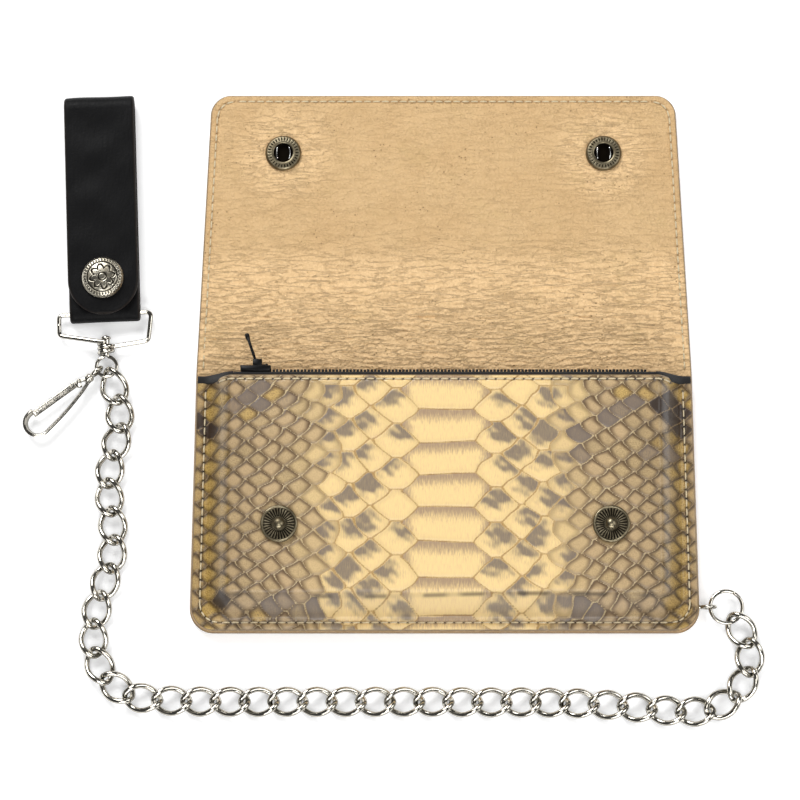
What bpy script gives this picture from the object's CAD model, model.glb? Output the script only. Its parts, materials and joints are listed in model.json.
"""Looks of the open chain wallet: leather, scales, thread, zip, snaps, chain, clip and belt strap.

Lengths in this script are millimetres, and make() turns them into metres.
"""
import json
import math

import bpy
import numpy as np
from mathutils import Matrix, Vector


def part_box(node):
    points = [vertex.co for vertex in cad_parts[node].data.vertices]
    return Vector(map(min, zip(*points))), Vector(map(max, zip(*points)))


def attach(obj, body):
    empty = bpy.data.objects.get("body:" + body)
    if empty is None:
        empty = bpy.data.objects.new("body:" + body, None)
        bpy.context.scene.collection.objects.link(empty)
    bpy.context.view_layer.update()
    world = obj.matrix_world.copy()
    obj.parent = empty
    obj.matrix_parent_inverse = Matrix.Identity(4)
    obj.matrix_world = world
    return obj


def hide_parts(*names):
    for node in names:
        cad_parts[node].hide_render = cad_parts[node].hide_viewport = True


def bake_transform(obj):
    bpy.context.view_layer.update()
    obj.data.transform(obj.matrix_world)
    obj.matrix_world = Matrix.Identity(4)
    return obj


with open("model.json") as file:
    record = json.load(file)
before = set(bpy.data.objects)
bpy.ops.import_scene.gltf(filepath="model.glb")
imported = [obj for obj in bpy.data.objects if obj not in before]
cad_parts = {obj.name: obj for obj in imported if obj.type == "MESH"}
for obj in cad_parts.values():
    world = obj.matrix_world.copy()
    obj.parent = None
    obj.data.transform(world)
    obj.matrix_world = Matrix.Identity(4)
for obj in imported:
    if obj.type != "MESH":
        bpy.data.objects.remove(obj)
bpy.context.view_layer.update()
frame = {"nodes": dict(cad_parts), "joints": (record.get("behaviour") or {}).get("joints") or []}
MM = 0.001


# ---------------------------------------------------------------- frame values
def low(node):
    return np.array(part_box(node)[0]) / MM


def high(node):
    return np.array(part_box(node)[1]) / MM


def joint_at(name):
    return np.array(joint[name]["pos_m"]) / MM


joint = {j["name"]: j for j in frame["joints"]}
fold_y = joint_at("fold_1")[1]
fold_ys = [joint_at(f"fold_{i}")[1] for i in (1, 2, 3, 4)]
strip = fold_ys[1] - fold_ys[0]
body_low = low("back_skin")[1]
flap_high = high("flap_skin")[1]
hide_top = high("back_lining")[2]
skin_top = high("back_skin")[2]
corner_r = 9.2
flap_r = 7.5
SNAP_R = 6.8
fold_half = high("spine_fold_1")[0]
body_half = (fold_half + (high("back_skin")[0] - fold_half) * (fold_y - body_low)
             / (fold_y - body_low - corner_r))
flap_slope = (fold_half - high("flap_skin")[0]) / (fold_ys[3] - fold_y)
panel_top = high("front_panel")[2]
PANEL_LIP = 1.5  # how far the panel's leather reaches past its CAD node towards the zip
panel_y = high("front_panel")[1] + PANEL_LIP
border_in = 5.1  # width of the sewn border
slope_w = 10.0  # width of the slope from the border up to the raised middle
stud_x = high("snap_studs")[0] - SNAP_R
stud_y = (low("snap_studs")[1] + high("snap_studs")[1]) / 2
socket_x = high("snap_sockets")[0] - SNAP_R
socket_y = (low("snap_sockets")[1] + high("snap_sockets")[1]) / 2


# ---------------------------------------------------------------- mesh helpers
def make(name, part, material, body=None, slot=None, replaces=(), attributes=None, normals=None):
    """A piece from a part, its points in millimetres and its faces; body is the CAD body it rides on."""
    points, faces = part
    mesh = bpy.data.meshes.new(name)
    mesh.from_pydata((np.asarray(points, float) * MM).tolist(), [], faces)
    mesh.polygons.foreach_set("use_smooth", np.ones(len(mesh.polygons), bool))
    for key, values in (attributes or {}).items():
        values = np.asarray(values, np.float32)
        if values.ndim == 2:
            mesh.attributes.new(key, "FLOAT_VECTOR", "POINT").data.foreach_set("vector", values.ravel())
        else:
            mesh.attributes.new(key, "FLOAT", "POINT").data.foreach_set("value", values)
    mesh.materials.append(material)
    if normals is not None:
        loops = np.zeros(len(mesh.loops), int)
        mesh.loops.foreach_get("vertex_index", loops)
        mesh.normals_split_custom_set(np.asarray(normals)[loops].tolist())
    mesh.update()
    if material in (NICKEL, WIRE):
        up = np.array([v.normal[2] for v in mesh.vertices])
        mesh.attributes.new("side", "FLOAT", "POINT").data.foreach_set("value", smooth(0.66, 0.05, up))
    piece = bpy.data.objects.new(name, mesh)
    bpy.context.scene.collection.objects.link(piece)
    if replaces:
        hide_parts(*replaces)
    if body:
        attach(piece, body)
    return piece


def smooth(edge0, edge1, value):
    t = np.clip((value - edge0) / (edge1 - edge0), 0, 1)
    return t * t * (3 - 2 * t)


def ripples(x, y, seed, wave_x, wave_y, count=14):
    """Smooth seeded noise of about -1 to 1, with its own typical wavelength along x and y."""
    source = np.random.default_rng(seed)
    total = np.zeros_like(x, dtype=float)
    for _ in range(count):
        kx = source.normal() * 2 * math.pi / wave_x * 0.7
        ky = source.choice([-1, 1]) * source.uniform(0.6, 1.3) * 2 * math.pi / wave_y
        total += np.cos(kx * x + ky * y + source.uniform(0, 2 * math.pi))
    return total / math.sqrt(count)


def grid_faces(rows, columns, wrap_rows=False, wrap_columns=False):
    """Quads over a grid of points numbered row by row."""
    i = np.arange(rows if wrap_rows else rows - 1)
    j = np.arange(columns if wrap_columns else columns - 1)
    i, j = np.meshgrid(i, j, indexing="ij")
    i2, j2 = (i + 1) % rows, (j + 1) % columns
    return np.stack([i * columns + j, i * columns + j2, i2 * columns + j2, i2 * columns + j],
                    -1).reshape(-1, 4)


def grid_normals(points):
    """Unit normals of a grid of points, up for a grid whose rows run along +Y and columns along +X."""
    across = np.gradient(points, axis=1)
    along = np.gradient(points, axis=0)
    n = np.cross(across, along)
    return n / np.maximum(np.linalg.norm(n, axis=2, keepdims=True), 1e-12)


def slab(name, top, bottom, material, attributes=None, exact_normals=False, rows=None, **where):
    """A closed sheet between two grids; its rim is where they meet, or a wall where they stay apart."""
    n_top, n_bottom = grid_normals(top), -grid_normals(bottom)
    if rows is not None:
        top, bottom, n_top, n_bottom = (a[rows] for a in (top, bottom, n_top, n_bottom))
    r, c = top.shape[:2]
    count = r * c
    number = np.arange(count).reshape(r, c)
    under = number + count
    rim = np.zeros((r, c), bool)
    rim[[0, -1], :] = True
    rim[:, [0, -1]] = True
    shared = rim & (np.linalg.norm(top - bottom, axis=2) < 1e-4)
    under = np.where(shared, number, under)
    faces = grid_faces(r, c)
    quads = np.concatenate([faces, under.ravel()[faces][:, ::-1]]).tolist()
    loop = np.concatenate([number[0, :], number[1:, -1], number[-1, -2::-1], number[-2:0:-1, 0]])
    loop_under = under.ravel()[loop]
    following = np.roll(loop, -1)
    following_under = np.roll(loop_under, -1)
    for a, b, b2, a2 in zip(loop.tolist(), following.tolist(), following_under.tolist(),
                            loop_under.tolist()):
        corner = list(dict.fromkeys([a, a2, b2, b]))
        if len(corner) > 2:
            quads.append(corner)
    points = np.concatenate([top.reshape(-1, 3), bottom.reshape(-1, 3)])
    both = {}
    for key, value in (attributes or {}).items():
        value = value if rows is None else value[rows]
        flat = value.reshape(count, -1) if value.ndim == 3 else value.reshape(count)
        both[key] = np.concatenate([flat, flat])
    normals = np.concatenate([n_top.reshape(-1, 3), n_bottom.reshape(-1, 3)]) if exact_normals else None
    used = np.unique(np.concatenate([np.array(q) for q in quads]))
    renumber = np.zeros(len(points), int)
    renumber[used] = np.arange(len(used))
    quads = [[int(renumber[k]) for k in q] for q in quads]
    both = {key: value[used] for key, value in both.items()}
    return make(name, (points[used], quads), material, attributes=both,
                normals=None if normals is None else normals[used], **where)


def side_offsets(r, count=5):
    """Distances from an edge at which a rounded rim of radius r is sampled."""
    return [r * (1 - math.cos(a)) for a in np.linspace(0, math.pi / 2, count + 1)]


def rim_drop(distance, r):
    """How far a rounded rim of radius r falls below the sheet's face at a distance from its edge."""
    t = 1 - np.clip(distance / r, 0, 1)
    return r * (1 - np.sqrt(np.maximum(1 - t * t, 0)))


def row_ys(y_low, y_high, low_r, high_r, step, rim, cuts=()):
    """Row positions of a sheet, close together round its corners and at its rims."""
    ys = []
    if low_r:
        ys += [y_low + low_r * (1 - math.cos(a)) for a in np.linspace(0, math.pi / 2, 20)]
    ys += [y_low + o for o in side_offsets(rim)] if rim else [y_low]
    if high_r:
        ys += [y_high - high_r * (1 - math.cos(a)) for a in np.linspace(0, math.pi / 2, 20)]
    ys += [y_high - o for o in side_offsets(rim)] if rim else [y_high]
    ys += list(np.arange(y_low + max(low_r, rim) + step, y_high - max(high_r, rim), step))
    ys = np.sort(np.array(ys + list(cuts)))
    keep = [0]
    for i in range(1, len(ys)):
        if ys[i] - ys[keep[-1]] > 0.02 or ys[i] in cuts:
            keep.append(i)
    return ys[keep]


def plate(ys, half_line, y_low, y_high, low_r, high_r, rim, step):
    """X, Y and the distance to the edge over a plate with rounded corners."""
    w = half_line(ys)
    for r, t in ((low_r, y_low + low_r - ys), (high_r, ys - y_high + high_r)):
        if r:
            w = w - r * (1 - np.sqrt(np.maximum(1 - np.clip(t / r, 0, 1) ** 2, 0)))
    offsets = np.array(side_offsets(rim))
    inner = w - offsets[-1]
    n = int(2 * inner.max() / step)
    middle = np.linspace(-1, 1, n)[None, 1:-1] * inner[:, None]
    left = -(w[:, None] - offsets[None, :])
    x = np.concatenate([left, middle, -left[:, ::-1]], axis=1)
    y = np.repeat(ys[:, None], x.shape[1], axis=1)
    distance = w[:, None] - np.abs(x)
    if low_r:
        distance = np.minimum(distance, y - y_low)
    if high_r:
        distance = np.minimum(distance, y_high - y)
    return x, y, np.maximum(distance, 0)


def stack(x, y, z):
    return np.stack(np.broadcast_arrays(x, y, z), axis=-1).astype(float)


def tube(path, r, sides=14, closed=False, flat=None):
    """Points and faces of a round wire along a path; flat squeezes its section, as (out, up) factors."""
    path = np.asarray(path, float)
    r = np.broadcast_to(np.asarray(r, float), len(path))
    if closed:
        ahead = np.roll(path, -1, 0) - np.roll(path, 1, 0)
    else:
        ahead = np.gradient(path, axis=0)
    ahead /= np.linalg.norm(ahead, axis=1, keepdims=True)
    start = np.array([0, 0, 1.0]) if abs(ahead[0][2]) < 0.9 else np.array([1.0, 0, 0])
    up = [start - ahead[0] * (start @ ahead[0])]
    for k in range(1, len(path)):
        v = up[-1] - ahead[k] * (up[-1] @ ahead[k])
        up.append(v / np.linalg.norm(v))
    up = np.array(up)
    up[0] /= np.linalg.norm(up[0])
    if closed:
        v = up[-1] - ahead[0] * (up[-1] @ ahead[0])
        v /= np.linalg.norm(v)
        turn = math.atan2(np.cross(v, up[0]) @ ahead[0], v @ up[0])
        angles = np.linspace(0, turn, len(path), endpoint=False)[:, None]
        up = up * np.cos(angles) + np.cross(ahead, up) * np.sin(angles)
    out = np.cross(ahead, up)
    fo, fu = flat or (1, 1)
    a = np.linspace(0, 2 * math.pi, sides, endpoint=False)
    ring = (path[:, None] + r[:, None, None] * (out[:, None] * (fo * np.cos(a))[None, :, None]
                                               + up[:, None] * (fu * np.sin(a))[None, :, None]))
    faces = grid_faces(len(path), sides, wrap_rows=closed, wrap_columns=True)[:, ::-1].tolist()
    points = ring.reshape(-1, 3)
    if not closed:
        last = (len(path) - 1) * sides
        points = np.concatenate([points, path[:1] - ahead[:1] * r[0] * 0.5,
                                 path[-1:] + ahead[-1:] * r[-1] * 0.5])
        for k in range(sides):
            faces.append([k, (k + 1) % sides, len(points) - 2])
            faces.append([last + (k + 1) % sides, last + k, len(points) - 1])
    return points, faces


def path_lengths(path):
    """Distance along a path at each of its points."""
    return np.concatenate([[0], np.cumsum(np.linalg.norm(np.diff(path, axis=0), axis=1))])


def rounded(corners, r, step=0.5):
    """A path through corners with every bend rounded to radius r."""
    corners = [np.asarray(c, float) for c in corners]
    path = []
    n = len(corners)
    for k in range(n):
        if k in (0, n - 1):
            path.append(corners[k])
            continue
        before, here, after = corners[k - 1], corners[k], corners[k + 1]
        u = (before - here) / np.linalg.norm(before - here)
        v = (after - here) / np.linalg.norm(after - here)
        angle = math.acos(np.clip(u @ v, -1, 1))
        shorter = min(np.linalg.norm(before - here), np.linalg.norm(after - here))
        cut = min(r / math.tan(angle / 2), 0.49 * shorter)
        for t in np.linspace(0, 1, 9):
            path.append((1 - t) ** 2 * (here + u * cut) + 2 * t * (1 - t) * here + t ** 2 * (here + v * cut))
    path = np.array(path)
    lengths = path_lengths(path)
    at = np.linspace(0, lengths[-1], max(int(lengths[-1] / step), 4) + 1)
    return np.stack([np.interp(at, lengths, path[:, i]) for i in range(3)], axis=1)


def merge(parts):
    """Points and faces of several parts as one mesh."""
    points, faces, count = [], [], 0
    for p, f in parts:
        p = np.asarray(p, float)
        points.append(p)
        faces += [[k + count for k in face] for face in (f.tolist() if hasattr(f, "tolist") else f)]
        count += len(p)
    return np.concatenate(points), faces


def block(size, r, at=(0, 0, 0), steps=3):
    """A box with round edges: a sphere's points pushed out to the box's corners."""
    size = np.asarray(size, float) / 2
    n = 4 * steps
    a = np.linspace(0, 2 * math.pi, n, endpoint=False) + math.pi / n
    b = np.linspace(-math.pi / 2, math.pi / 2, 2 * steps + 2)[1:-1]
    ball = np.array([[math.cos(q) * math.cos(p), math.cos(q) * math.sin(p), math.sin(q)] for q in b
                     for p in a])
    points = np.sign(ball) * (size - r) + ball * r + np.asarray(at)
    rows = len(b)
    faces = grid_faces(rows, n, wrap_columns=True).tolist()
    faces.append(list(range(n))[::-1])
    faces.append(list(range((rows - 1) * n, rows * n)))
    return points, faces


def disc_piece(radii, heights, sides, relief=None):
    """Points and faces of a turned shape, from its axis outwards; relief(radius, angle) raises it."""
    a = np.linspace(0, 2 * math.pi, sides, endpoint=False)
    rr, aa = np.meshgrid(np.asarray(radii, float), a, indexing="ij")
    zz = np.repeat(np.asarray(heights, float)[:, None], sides, axis=1)
    if relief is not None:
        zz = zz + relief(rr, aa)
    points = np.stack([rr * np.cos(aa), rr * np.sin(aa), zz], -1).reshape(-1, 3)
    faces = grid_faces(len(radii), sides, wrap_columns=True)[:, ::-1].tolist()
    return points, faces


def polar(points):
    """Distance and angle of points round the Z axis."""
    return np.hypot(points[:, 0], points[:, 1]), np.arctan2(points[:, 1], points[:, 0])


def moved(part, at=(0, 0, 0), turn=0.0):
    """A part turned about Z by an angle in degrees and then moved."""
    p, f = part
    c, s = math.cos(math.radians(turn)), math.sin(math.radians(turn))
    p = np.asarray(p, float) @ np.array([[c, s, 0], [-s, c, 0], [0, 0, 1]])
    return p + np.asarray(at, float), f


# ---------------------------------------------------------------- shader helpers
class Nodes:
    """Short names for building a node tree."""

    def __init__(self, name):
        self.material = bpy.data.materials.new(name)
        self.material.use_nodes = True
        self.tree = self.material.node_tree
        self.tree.nodes.clear()
        self.out = self.add("ShaderNodeOutputMaterial")
        self.shader = self.add("ShaderNodeBsdfPrincipled")
        self.link(self.shader.outputs[0], self.out.inputs[0])

    def add(self, kind, **settings):
        node = self.tree.nodes.new(kind)
        for key, value in settings.items():
            setattr(node, key, value)
        return node

    def link(self, a, b):
        self.tree.links.new(a, b)

    def put(self, socket, value):
        if hasattr(value, "links"):
            self.link(value, socket)
        elif isinstance(value, (tuple, list)) and len(value) == 3 and len(socket.default_value) == 4:
            socket.default_value = (*value, 1)
        else:
            socket.default_value = value

    def fixed(self, **values):
        for key, value in values.items():
            self.put(self.shader.inputs[key.replace("_", " ")], value)

    def attribute(self, name, vector=False):
        node = self.add("ShaderNodeAttribute", attribute_name=name)
        return node.outputs["Vector" if vector else "Fac"]

    def place(self):
        """The point on the piece, in millimetres."""
        return self.stretch(self.add("ShaderNodeTexCoord").outputs["Object"], (1 / MM, 1 / MM, 1 / MM))

    def stretch(self, vector, scale):
        node = self.add("ShaderNodeMapping")
        self.link(vector, node.inputs["Vector"])
        node.inputs["Scale"].default_value = scale
        return node.outputs[0]

    def noise(self, vector, scale, detail=3.0, rough=0.55, warp=0.0):
        node = self.add("ShaderNodeTexNoise")
        self.link(vector, node.inputs["Vector"])
        node.inputs["Scale"].default_value = scale
        node.inputs["Detail"].default_value = detail
        node.inputs["Roughness"].default_value = rough
        node.inputs["Distortion"].default_value = warp
        return node.outputs["Fac"]

    def cells(self, vector, scale):
        node = self.add("ShaderNodeTexVoronoi", feature="F1")
        self.link(vector, node.inputs["Vector"])
        node.inputs["Scale"].default_value = scale
        return node.outputs["Distance"]

    def wave(self, vector, direction, scale, warp):
        node = self.add("ShaderNodeTexWave", wave_type="BANDS", bands_direction=direction)
        self.link(vector, node.inputs["Vector"])
        node.inputs["Scale"].default_value = scale
        node.inputs["Distortion"].default_value = warp
        return node.outputs["Fac"]

    def math(self, kind, a, b=0.0):
        node = self.add("ShaderNodeMath", operation=kind)
        self.put(node.inputs[0], a)
        self.put(node.inputs[1], b)
        return node.outputs[0]

    def step(self, value, low, high, to_low=0.0, to_high=1.0):
        node = self.add("ShaderNodeMapRange", interpolation_type="SMOOTHSTEP")
        self.put(node.inputs["Value"], value)
        node.inputs["From Min"].default_value = low
        node.inputs["From Max"].default_value = high
        node.inputs["To Min"].default_value = to_low
        node.inputs["To Max"].default_value = to_high
        return node.outputs["Result"]

    def times(self, a, b):
        return self.math("MULTIPLY", a, b)

    def plus(self, a, b):
        return self.math("ADD", a, b)

    def less(self, a, b):
        return self.math("SUBTRACT", a, b)

    def mix(self, factor, a, b):
        node = self.add("ShaderNodeMix", data_type="RGBA", blend_type="MIX")
        self.put(node.inputs["Factor"], factor)
        self.put(node.inputs["A"], a)
        self.put(node.inputs["B"], b)
        return node.outputs["Result"]

    def tone(self, colour, mask, amount, towards):
        """A colour drawn towards another where a mask is, by an amount."""
        return self.mix(self.times(mask, amount), colour, towards)

    def bump(self, height, distance, strength=1.0):
        node = self.add("ShaderNodeBump")
        self.link(height, node.inputs["Height"])
        node.inputs["Distance"].default_value = distance
        node.inputs["Strength"].default_value = strength
        return node.outputs[0]


def srgb(r, g, b):
    """A linear colour from display values of 0 to 255."""
    return tuple(((c / 255 + 0.055) / 1.055) ** 2.4 if c > 10 else c / 255 / 12.92 for c in (r, g, b))


def lining_material():
    """Undyed tan leather: pores, fine pebbles, fine creases and soft stains."""
    n = Nodes("lining_leather")
    at = n.attribute("flat", vector=True)
    wrinkle = n.attribute("wrinkle")
    pebble = n.cells(at, 0.85)
    fine = n.noise(at, 1.6, 4)
    lines = n.noise(n.stretch(at, (0.11, 0.5, 1)), 1.0, 4, 0.55, 0.5)
    creases = n.math("ABSOLUTE", n.less(lines, 0.5))
    crease = n.step(creases, 0.0, 0.05, 1.0, 0.0)
    creased = n.times(crease, wrinkle)
    pores = n.step(n.cells(at, 0.55), 0.08, 0.2, 1.0, 0.0)
    clusters = n.step(n.noise(at, 0.06, 2), 0.5, 0.62)
    pored = n.times(pores, clusters)
    stain = n.step(n.noise(at, 0.035, 3), 0.35, 0.7)
    colour = n.mix(stain, srgb(220, 183, 131), srgb(213, 174, 121))
    colour = n.mix(n.step(wrinkle, 0.4, 0.95, 0.0, 0.9), colour, srgb(250, 211, 157))
    colour = n.tone(colour, fine, 0.4, srgb(232, 198, 150))
    colour = n.tone(colour, n.step(pebble, 0.35, 0.8), 0.25, srgb(196, 158, 106))
    colour = n.tone(colour, creased, 0.18, srgb(168, 128, 78))
    colour = n.tone(colour, n.attribute("valley"), 0.2, srgb(170, 128, 76))
    colour = n.tone(colour, pored, 0.7, srgb(150, 108, 60))
    colour = n.mix(n.step(n.noise(at, 0.05, 4, 0.7), 0.52, 0.7, 0.0, 0.28), colour, srgb(206, 174, 118))
    colour = n.tone(colour, n.attribute("edge"), 0.75, srgb(150, 118, 80))
    n.fixed(Base_Color=colour, Roughness=n.step(fine, 0.2, 0.8, 0.5, 0.66), Sheen_Weight=0.15,
            Sheen_Roughness=0.4)
    height = n.plus(n.times(n.step(pebble, 0.1, 0.8), -0.5), n.times(fine, 0.5))
    height = n.less(height, n.times(creased, 0.5))
    height = n.less(height, n.times(pored, 0.5))
    n.fixed(Normal=n.bump(height, 0.0006, 1.0))
    return n.material


def scale_material():
    """Glossy snakeskin: the mesh says where in its scale a point lies, and the lines are drawn from that."""
    n = Nodes("scale_leather")
    at = n.attribute("flat", vector=True)
    streak = n.noise(n.stretch(at, (2.6, 0.35, 1)), 1.0, 3, 0.6)
    grain = n.noise(at, 1.8, 4, 0.6)
    cloud = n.noise(at, 0.12, 3, 0.6)
    cream, dark, black = n.attribute("cream"), n.attribute("dark"), n.attribute("black")
    gold, fringe = n.attribute("gold"), n.attribute("fringe")
    margin, upper = n.attribute("margin"), n.step(n.attribute("q"), -0.7, 0.5)
    speck = n.times(n.less(grain, 0.5), 0.16)
    rough_margin = n.plus(margin, speck)
    side = n.mix(n.step(grain, 0.35, 0.7), srgb(196, 170, 124), srgb(160, 134, 92))
    side = n.tone(side, n.attribute("tint"), 0.6, srgb(200, 170, 130))
    side = n.mix(n.step(cloud, 0.45, 0.7, 0.0, 0.35), side, srgb(152, 130, 92))
    golden = n.mix(n.step(grain, 0.4, 0.7), srgb(206, 172, 92), srgb(146, 110, 44))
    belly = n.mix(n.step(streak, 0.4, 0.8), srgb(246, 215, 150), srgb(236, 198, 146))
    colour = n.mix(cream, side, belly)
    colour = n.mix(gold, colour, golden)
    rim = n.step(rough_margin, 0.1, 0.85, 1.0, 0.0)
    rim = n.times(rim, n.plus(0.55, n.times(upper, 0.45)))
    rim = n.times(rim, n.less(1.0, n.times(cream, 0.85)))
    rim_colour = n.mix(n.attribute("outer"), srgb(80, 55, 28), srgb(34, 20, 8))
    colour = n.tone(colour, rim, 0.9, rim_colour)
    ragged = n.step(n.plus(fringe, n.times(n.less(streak, 0.5), 1.2)), 0.15, 1.05)
    colour = n.tone(colour, ragged, 0.78, srgb(146, 120, 104))
    patch = n.step(n.plus(dark, n.times(n.less(streak, 0.5), 0.6)), 0.2, 1.1)
    colour = n.tone(colour, patch, 0.88, srgb(112, 100, 92))
    colour = n.tone(colour, black, 0.95, srgb(26, 17, 12))
    colour = n.tone(colour, n.attribute("outer"), 0.22, srgb(84, 54, 22))
    line = n.step(rough_margin, 0.03, 0.12, 1.0, 0.0)
    line_colour = n.mix(cream, srgb(216, 194, 150), srgb(166, 128, 70))
    line_colour = n.tone(line_colour, n.attribute("outer"), 0.75, srgb(120, 88, 46))
    colour = n.tone(colour, line, 0.8, line_colour)
    colour = n.mix(n.attribute("hole"), colour, srgb(34, 24, 14))
    colour = n.mix(n.attribute("edge"), colour, srgb(132, 110, 78))
    n.fixed(Base_Color=colour, Roughness=n.step(grain, 0.2, 0.8, 0.4, 0.55), Coat_Weight=0.25,
            Coat_Roughness=0.1)
    height = n.plus(n.times(grain, 0.4), n.times(streak, 0.3))
    height = n.less(height, n.times(line, 0.8))
    n.fixed(Normal=n.bump(height, 0.00018, 0.6))
    return n.material


def strap_material():
    """Smooth black leather with faint creases and worn edges."""
    n = Nodes("strap_leather")
    at = n.attribute("flat", vector=True)
    fine = n.noise(at, 1.4, 4)
    lines = n.noise(n.stretch(at, (0.9, 0.22, 1)), 1.0, 4, 0.6, 0.4)
    wear = n.step(n.noise(at, 0.07, 3), 0.4, 0.75)
    colour = n.mix(wear, srgb(9, 9, 10), srgb(15, 15, 16))
    colour = n.mix(n.attribute("edge"), colour, srgb(44, 38, 34))
    n.fixed(Base_Color=colour, Roughness=n.step(fine, 0.25, 0.75, 0.38, 0.56), Specular_IOR_Level=0.12)
    height = n.plus(n.times(fine, 0.5), n.times(lines, 0.7))
    n.fixed(Normal=n.bump(height, 0.0003, 0.8))
    return n.material


def metal_material(name, bright, dull, low_rough, high_rough, recess=None, sides=None):
    """A metal with soft smudges, a dark tone in its recesses and a tone on its flanks where it has them."""
    n = Nodes(name)
    at = n.place()
    smudge = n.noise(at, 0.35, 3)
    colour = n.mix(n.step(smudge, 0.35, 0.75), bright, dull)
    if sides:
        colour = n.mix(n.attribute("side"), colour, sides)
    if recess:
        colour = n.mix(n.attribute("recess"), colour, recess)
        rough = n.plus(n.step(smudge, 0.3, 0.7, low_rough, high_rough),
                       n.times(n.attribute("recess"), 0.3))
    else:
        rough = n.step(smudge, 0.3, 0.7, low_rough, high_rough)
    n.fixed(Base_Color=colour, Metallic=1.0, Roughness=rough)
    n.fixed(Normal=n.bump(n.noise(at, 2.2, 3), 0.00003, 0.4))
    return n.material


def tape_material():
    """Black woven zip tape."""
    n = Nodes("zip_tape")
    at = n.place()
    rib = n.wave(at, "X", 1.6, 1.2)
    colour = n.mix(rib, srgb(14, 13, 13), srgb(34, 33, 33))
    n.fixed(Base_Color=colour, Roughness=0.85, Sheen_Weight=0.1)
    n.fixed(Normal=n.bump(rib, 0.00015, 0.7))
    return n.material


def painted_material(name, colour, spot, rough):
    """A dark coated metal with slight rubbing."""
    n = Nodes(name)
    at = n.place()
    rub = n.step(n.noise(at, 0.9, 4), 0.55, 0.8)
    n.fixed(Base_Color=n.mix(rub, colour, spot), Metallic=0.6, Roughness=rough)
    n.fixed(Normal=n.bump(n.noise(at, 2.5, 3), 0.00004, 0.5))
    return n.material


def thread_material():
    """Waxed cream thread with the lay of its plies."""
    n = Nodes("thread")
    at = n.place()
    ply = n.wave(at, "DIAGONAL", 2.2, 0.6)
    colour = n.mix(ply, srgb(236, 222, 188), srgb(206, 186, 146))
    n.fixed(Base_Color=colour, Roughness=0.6, Sheen_Weight=0.2)
    n.fixed(Normal=n.bump(ply, 0.00006, 0.6))
    return n.material


LINING = lining_material()
SCALES = scale_material()
STRAP = strap_material()
NICKEL = metal_material("nickel", (0.72, 0.685, 0.61), (0.55, 0.52, 0.45), 0.1, 0.2,
                        sides=(0.11, 0.105, 0.09))
BRASS = metal_material("snap_metal", srgb(146, 136, 112), srgb(104, 94, 74), 0.3, 0.45,
                       recess=srgb(20, 16, 11))
SILVER = metal_material("strap_snap_metal", srgb(206, 200, 184), srgb(158, 150, 132), 0.18, 0.32,
                        recess=srgb(26, 22, 16))
WIRE = metal_material("spring_wire", (0.8, 0.8, 0.78), (0.66, 0.66, 0.64), 0.12, 0.22,
                      sides=(0.08, 0.08, 0.08))
TAPE = tape_material()
ZIP = painted_material("zip_metal", srgb(14, 14, 15), srgb(38, 36, 34), 0.42)
THREAD = thread_material()


# ---------------------------------------------------------------- the layers' shapes
def body_line(inset):
    """Half width of the body at y, between its lower edge and the fold."""
    def line(y):
        return fold_half + (body_half - fold_half) * (fold_y - y) / (fold_y - body_low) - inset
    return line


def hide_line(inset):
    """Half width of the whole hide, body, fold and flap together."""
    def line(y):
        flap = fold_half - flap_slope * (y - fold_y)
        return np.where(y < fold_y, body_line(0)(np.minimum(y, fold_y)), flap) - inset
    return line


def rise(x, y):
    """0 on the sewn border of the body, 1 on its raised middle, with soft slopes between."""
    side = (fold_half - border_in + 0.6 - np.abs(x)) / slope_w
    lower = (y - body_low - border_in + 0.6) / slope_w
    t = np.clip(np.stack([side, lower]), 0, 1)
    corner = 1 - np.sqrt(np.clip((1 - t[0]) ** 2 + (1 - t[1]) ** 2, 0, 1))
    return smooth(0, 1, corner)


def snap_distance(x, y, snap_x, snap_y):
    return np.hypot(np.abs(x) - snap_x, y - snap_y)


# ---------------------------------------------------------------- snakeskin cells
BELLY_HALF, BELLY_FLAT, BELLY_PITCH, BELLY_Y = 17.0, 9.3, 12.5, 3.7
LATTICE_LOW, LATTICE_HIGH = -60.0, 175.0


def scale_sites():
    """Centre, half sizes and column of every scale: wide belly scales, then columns finer outwards."""
    sites = []
    count = int((LATTICE_HIGH - LATTICE_LOW) / BELLY_PITCH) + 2
    first = math.floor((LATTICE_LOW - BELLY_Y) / BELLY_PITCH)
    for j in range(first, first + count):
        sites.append((0.6, BELLY_Y + j * BELLY_PITCH, BELLY_HALF, BELLY_PITCH / 2, 0))
    for side in (-1, 1):
        x, column = 19.2, 1
        while x < 101:
            if column < 4:
                pitch, gap = BELLY_PITCH, 8.3 - 0.5 * (column - 1)
            else:
                pitch = 6.7 + 1.9 * math.exp(-(column - 4) / 2.5)
                gap = 4.6 + 1.4 * math.exp(-(column - 4) / 2.0)
            j = math.floor((LATTICE_LOW - BELLY_Y) / pitch)
            while BELLY_Y + j * pitch < LATTICE_HIGH:
                sites.append((side * x + 0.6, BELLY_Y + (j + column % 2 / 2) * pitch, gap, pitch / 2,
                              column))
                j += 1
            x += gap
            column += 1
    return np.array(sites)


def cell_distance(x, y, sites):
    """Distance of points to the sites in each scale's own shape: 1 at its outline."""
    dx, dy = np.abs(x[:, None] - sites[None, :, 0]), np.abs(y[:, None] - sites[None, :, 1])
    a, b = sites[None, :, 2], sites[None, :, 3]
    above = y[:, None] > sites[None, :, 1]
    tall = np.where(above, dy / (1.22 * b), dy / (0.86 * b))
    diamond = ((dx / a) ** 1.6 + tall ** 1.6) ** (1 / 1.6)
    hexagon = np.maximum(dy / b, np.maximum(dx - BELLY_FLAT, 0) / (BELLY_HALF - BELLY_FLAT) + dy / b)
    return np.where(sites[None, :, 4] == 0, hexagon, diamond)


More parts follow.
